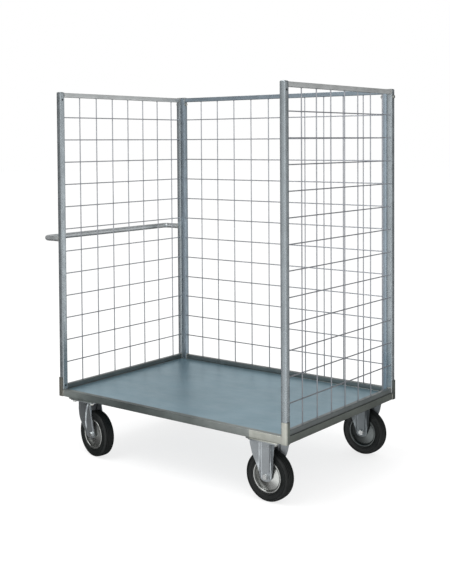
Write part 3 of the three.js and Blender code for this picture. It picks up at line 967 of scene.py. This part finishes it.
def plate_bolts(name, x, y):
    """Washers, nuts and thread ends under the castor plate's four corners."""
    washer_sheet = 1.6
    bm = shape()
    for sx in (-1, 1):
        for sy in (-1, 1):
            seat = Vector((sx * PLATE_BOLT_X, sy * PLATE_BOLT_Y, PLATE_TOP - PLATE_SHEET))
            washer(bm, "z", 10, washer_sheet, seat, -1)
            seat.z -= washer_sheet
            hexagon(bm, "z", 16, 6.4, seat, -1)
            thread_end(bm, "z", 4.9, 8, seat, -1)
    piece(name, bm, "bolt_zinc", "platform", origin=(x, y))


def castor_pad(name, x, y):
    bm = shape()
    low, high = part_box(name)
    outline = rounded_rectangle(PAD_LENGTH, PAD_WIDTH, 3, 3)
    prism(bm, outline, (high.z - low.z) * 1000, (0, 0, low.z * 1000), 0.6)
    piece(name, bm, "frame_zinc", "platform", [name], origin=(x, y))


def swivel_plate(name, x, y):
    """Mounting plate with the fixed upper race pressed up into it."""
    bm = shape()
    castor_plate(bm)
    profile = [
        (20, 241), (38, 241), (37.6, 240), (36.2, 239.4),
        (35.2, 238.4), (34, 237.2), (32, 236.8), (20, 236.8),
    ]
    lathe(bm, "z", profile, (0, 0, 0), 56, closed=True)
    piece(name, bm, "castor_zinc", "platform", [name], origin=(x, y))


# Fork outlines from the top down, as (height, place along X): the two edges of the swivel
# leg, the middle of its ridge, and the left edge of the rigid leg.
SWIVEL_LEFT = [(233, -46), (226, -50), (194, -51), (170, -43), (148, -31), (120, -8), (106, 6), (100, 11)]
SWIVEL_RIGHT = [(233, 43), (226, 46), (180, 57), (137, 66), (108, 77), (100, 79)]
SWIVEL_RIDGE = [(230, 27), (195, 13), (150, 8), (100, 15)]
RIGID_LEFT = [(239.8, -62), (232, -57), (190, -50), (150, -40), (112, -30), (100, -28)]


def swell(distance, width):
    """Smooth bump: 1 on its middle line, falling away over about its width."""
    return math.exp(-(distance / width) ** 2)


def swivel_relief(x, z):
    """Stiffening ridge down the leg, a smaller one inside its right edge, and a left flank
    that wraps inward.
    """
    ridge_x = blend_points(SWIVEL_RIDGE, z)
    small_ridge_x = blend_points(SWIVEL_RIGHT, z) - 7
    lift = ease((z - 106) / 22)
    ridges = 3.6 * swell(x - ridge_x, 4.5) + 1.4 * swell(x - small_ridge_x, 3.0)
    wrap = ease((z - 150) / 50) * ease((ridge_x - x) / 50)
    return lift * ridges - 4 * wrap


def swivel_fork(name, x, y, body):
    bm = shape()
    pressed_fork(bm, SWIVEL_CROWN, 11, SWIVEL_LEFT, SWIVEL_RIGHT, swivel_relief)
    head = [
        (0, 231), (35, 231), (37.6, 232), (39, 233.2), (39, 234.2),
        (37.8, 235.2), (35.6, 236), (28, 236.2), (0, 236.2),
    ]
    lathe(bm, "z", head, (0, 0, 0), 56)
    piece(name, bm, "castor_zinc", body, [name], SWIVEL_TURN, (x, y), sharp=40)
    nut = shape()
    washer_sheet = 2
    crown_bottom = SWIVEL_CROWN - LEG_SHEET - 0.1
    seat = (0, 0, crown_bottom - washer_sheet)
    washer(nut, "z", 17, washer_sheet, (0, 0, crown_bottom), -1)
    hexagon(nut, "z", 24, 8, seat, -1)
    thread_end(nut, "z", 7.8, 11, seat, -1)
    piece(name.replace("fork", "kingpin"), nut, "bolt_zinc", body, turn=SWIVEL_TURN, origin=(x, y))


def rigid_relief(x, z):
    """Ribs beside the middle strip, and flanks that flare outward toward the plate."""
    rib = 24 - 2 * ease((200 - z) / 100)
    flank = max(0.0, abs(x) - rib)
    ribs = swell(abs(x) - rib, 2.4)
    return 3.2 * ribs * ease((z - 90) / 24) + 0.75 * flank * ease((z - 100) / 90)


def rigid_fork(name, x, y):
    bm = shape()
    castor_plate(bm)
    right = [(z, -edge) for z, edge in RIGID_LEFT]
    pressed_fork(bm, RIGID_CROWN, 9, RIGID_LEFT, right, rigid_relief)
    # The rear fork takes the darker copy of the castor zinc: painted shade under the platform.
    finish = "shaded_castor_zinc" if "rear" in name else "castor_zinc"
    piece(name, bm, finish, "platform", [name], origin=(x, y), sharp=40)


def axle_bolt(name, axle_x, x, y, turn, body):
    """Axle with head and washer on the near leg, nut and thread end on the far leg."""
    bm = shape()
    seat = LEG_OUTSIDE + GAP
    shank = 5.9
    washer_sheet = 1.6
    middle = (axle_x, 0, AXLE_Z)
    lathe(bm, "y", [(0, -seat), (shank, -seat), (shank, seat), (0, seat)], middle, 28)
    collar = [(6.5, 25.2), (9, 25.2), (9.6, 26), (9.6, 26.8), (6.5, 26.8)]
    for side in (-1, 1):
        washer(bm, "y", 11.5, washer_sheet, (axle_x, side * seat, AXLE_Z), side)
        lathe(bm, "y", [(r, side * t) for r, t in collar], middle, 28, closed=True)
    head = seat + washer_sheet
    hexagon(bm, "y", 19, 6, (axle_x, -head, AXLE_Z), -1)
    hexagon(bm, "y", 19, 7.4, (axle_x, head, AXLE_Z), 1)
    thread_end(bm, "y", shank, 11.5, (axle_x, head, AXLE_Z), 1)
    piece(name, bm, "nut_zinc", body, [name], turn, (x, y))


def mirrored(half):
    """A whole section from the half of it on the near side of the wheel's middle plane."""
    return half + [(radius, -along) for radius, along in reversed(half)]


# Near halves of the wheel's sections, as (radius, place along the axle).
HUB_AND_DISC = [
    (6.2, -24.6), (14.2, -24.6), (15.4, -23.8), (16, -22.4), (17, -21.2), (20, -20.2), (30, -18.1),
    (40, -16), (50, -13.9), (55, -12.9),
]
ROLLED_RIM = [
    (55.7, -14), (56.8, -17.4), (57.8, -20.6), (58.6, -22.8), (60.6, -24), (63, -24.2),
    (65.2, -23.4), (66.2, -21.8), (65.8, -20.4), (61.4, -20.2),
]
TYRE_WALL = [
    (60.6, -19.6), (66.6, -19.8), (66.8, -22.2), (68.4, -23.2), (71, -23.4), (71.9, -22.3),
    (73.1, -22.4), (74, -23.9), (77, -24.3), (82, -24.8), (86, -24.9), (87, -23.3), (88.4, -23.3),
    (89.4, -24.7), (92, -24.3), (95.6, -22.8), (97.6, -20.8), (98.5, -18.8),
]
TYRE_TREAD = [
    (98.8, -17.4), (96.2, -16.6), (96.2, -14), (99.2, -13.2), (99.7, -9.4), (97, -8.6),
    (97, -6), (99.9, -5.2), (100, -1.6), (97.6, -0.9),
]


def wheel(corner, axle_x, x, y, turn):
    """Two pressed discs with rolled rims round a hub, and a solid rubber tyre."""
    centre = (axle_x, 0, AXLE_Z)
    body = f"wheel_{corner}"
    rim_name = f"wheel_rim_{corner}"
    rim = shape()
    lathe(rim, "y", mirrored(HUB_AND_DISC + ROLLED_RIM), centre, 88, closed=True)
    # The rear rims take the darker copy of the rim zinc: painted shade under the platform.
    finish = "shaded_rim_zinc" if corner.startswith("rear") else "rim_zinc"
    piece(rim_name, rim, finish, body, [rim_name], turn, (x, y), sharp=50)
    tyre_name = f"wheel_tyre_{corner}"
    tyre = shape()
    lathe(tyre, "y", mirrored(TYRE_WALL + TYRE_TREAD), centre, 112, closed=True)
    piece(tyre_name, tyre, "tyre_rubber", body, [tyre_name], turn, (x, y), sharp=35)


for row, y in (("front", -CASTOR_Y), ("rear", CASTOR_Y)):
    left, right = f"{row}_left", f"{row}_right"
    castor_pad(f"castor_pad_{left}", SWIVEL_X, y)
    castor_pad(f"castor_pad_{right}", RIGID_X, y)
    plate_bolts(f"plate_bolts_{left}", SWIVEL_X, y)
    plate_bolts(f"plate_bolts_{right}", RIGID_X, y)
    swivel_plate(f"swivel_plate_{left}", SWIVEL_X, y)
    swivel_fork(f"swivel_fork_{left}", SWIVEL_X, y, f"fork_{left}")
    rigid_fork(f"rigid_fork_{right}", RIGID_X, y)
    axle_bolt(f"axle_bolt_{left}", TRAIL, SWIVEL_X, y, SWIVEL_TURN, f"fork_{left}")
    axle_bolt(f"axle_bolt_{right}", 0, RIGID_X, y, 0, "platform")
    wheel(left, TRAIL, SWIVEL_X, y, SWIVEL_TURN)
    wheel(right, 0, RIGID_X, y, 0)


# ---------------------------------------------------------------- stage, light and camera

def floor():
    """Wide round floor with a faint glow of its own, which metal does not mirror."""
    radius = 45
    sides = 96
    bm = shape()
    turns = [2 * math.pi * k / sides for k in range(sides)]
    bm.faces.new([bm.verts.new((radius * math.cos(t), radius * math.sin(t), 0)) for t in turns])
    mesh = bpy.data.meshes.new("floor")
    bm.to_mesh(mesh)
    bm.free()
    mat, tree, bsdf = new_material("floor_white", 0.0, 0.9)
    shade = ramp(tree, noise(tree, 0.8, 2), [(0.3, (0.262, 0.262, 0.262)), (0.7, (0.266, 0.266, 0.266))])
    tree.links.new(shade, bsdf.inputs["Base Color"])
    bsdf.inputs["Specular IOR Level"].default_value = 0.1
    tree.links.new(shade, bsdf.inputs["Emission Color"])
    bsdf.inputs["Emission Strength"].default_value = 2.85
    mesh.materials.append(mat)
    obj = bpy.data.objects.new("floor", mesh)
    bpy.context.scene.collection.objects.link(obj)
    obj.visible_glossy = False


floor()


def studio_world():
    """White room. Metal mirrors tones instead: bright in front, medium to the right, dark at left.

    The tones follow the compass bearing of the mirrored direction, from -X round through -Y, +X
    and +Y, with one set for directions below the horizon and one for those above it. Steep
    directions are dimmed.
    """
    world = bpy.data.worlds.new("studio")
    world.use_nodes = True
    tree = world.node_tree
    room = tree.nodes["Background"]
    room.inputs["Color"].default_value = (1, 1, 1, 1)
    room.inputs["Strength"].default_value = 1.0
    mirrored_way = coordinates(tree, "Generated")
    bearing = combine(tree, "ARCTAN2", mirrored_way["Y"], mirrored_way["X"])
    around = spread(tree, bearing, 0.0, 1.0, -math.pi, math.pi)
    bay = [
        (0.194, 0.8), (0.211, 2.3), (0.256, 2.3), (0.28, 0.8), (0.33, 0.6), (0.5, 0.6), (0.58, 0.75),
        (0.652, 0.1), (0.69, 0.06),
    ]
    low_tones = [(0.0, 0.06), (0.1, 0.06), (0.12, 0.08), (0.14, 0.25), (0.154, 1.15), (0.172, 0.6)] + bay
    low_tones += [(0.605, 1.6), (0.63, 1.3), (1.0, 0.1)]
    high_tones = [(0.0, 0.06), (0.1, 0.06), (0.12, 0.08), (0.14, 0.2), (0.154, 0.55), (0.172, 0.65)] + bay
    high_tones += [(0.61, 0.75), (0.638, 0.6)]
    high_tones += [(0.76, 0.3), (0.81, 0.72), (0.9, 0.68), (0.96, 0.25), (1.0, 0.12)]
    brightest = 2.3
    low = ramp(tree, around, [(place, (tone / brightest,) * 3) for place, tone in sorted(low_tones)])
    high = ramp(tree, around, [(place, (tone / brightest,) * 3) for place, tone in sorted(high_tones)])
    height = spread(tree, mirrored_way["Z"], 0.0, 1.0, -0.04, 0.06)
    slope = combine(tree, "ABSOLUTE", mirrored_way["Z"], 0)
    steep = spread(tree, slope, brightest, 0.45 * brightest, 0.4, 0.8)
    reflected = tree.nodes.new("ShaderNodeBackground")
    tree.links.new(mix(tree, "MIX", height, low, high), reflected.inputs["Color"])
    tree.links.new(steep, reflected.inputs["Strength"])
    path = tree.nodes.new("ShaderNodeLightPath")
    choice = tree.nodes.new("ShaderNodeMixShader")
    tree.links.new(path.outputs["Is Glossy Ray"], choice.inputs["Fac"])
    tree.links.new(room.outputs["Background"], choice.inputs[1])
    tree.links.new(reflected.outputs["Background"], choice.inputs[2])
    tree.links.new(choice.outputs["Shader"], tree.nodes["World Output"].inputs["Surface"])
    bpy.context.scene.world = world


studio_world()


def area_light(name, location, target, size, power):
    light = bpy.data.lights.new(name, "AREA")
    light.shape = "RECTANGLE"
    light.size, light.size_y = size
    light.energy = power
    obj = bpy.data.objects.new(name, light)
    obj.location = location
    obj.rotation_euler = (Vector(target) - Vector(location)).to_track_quat("-Z", "Y").to_euler()
    obj.visible_camera = False
    bpy.context.scene.collection.objects.link(obj)


area_light("key", (-0.8, -2.2, 5.2), (0, 0, 0.5), (3.2, 3.2), 130)
area_light("fill", (4.2, -2.6, 3.4), (0, 0, 0.7), (2.4, 2.4), 40)


def photo_camera():
    """Camera where the photographer stood: right of the open front, a little below eye height."""
    heading = math.radians(37.89)
    tilt = math.radians(2.11)
    roll = math.radians(-0.36)
    level = math.cos(tilt)
    view = Vector((-math.sin(heading) * level, math.cos(heading) * level, -math.sin(tilt)))
    turned = view.to_track_quat("-Z", "Y").to_matrix() @ Matrix.Rotation(roll, 3, "Z")
    camera = bpy.data.cameras.new("camera")
    camera.lens = 61.61
    camera.shift_y = -0.19
    camera.clip_end = 200
    obj = bpy.data.objects.new("camera", camera)
    obj.location = (2.7330, -3.4432, 1.3841)
    obj.rotation_euler = turned.to_euler()
    bpy.context.scene.collection.objects.link(obj)
    bpy.context.scene.camera = obj


photo_camera()
bpy.context.scene.view_settings.view_transform = "Standard"
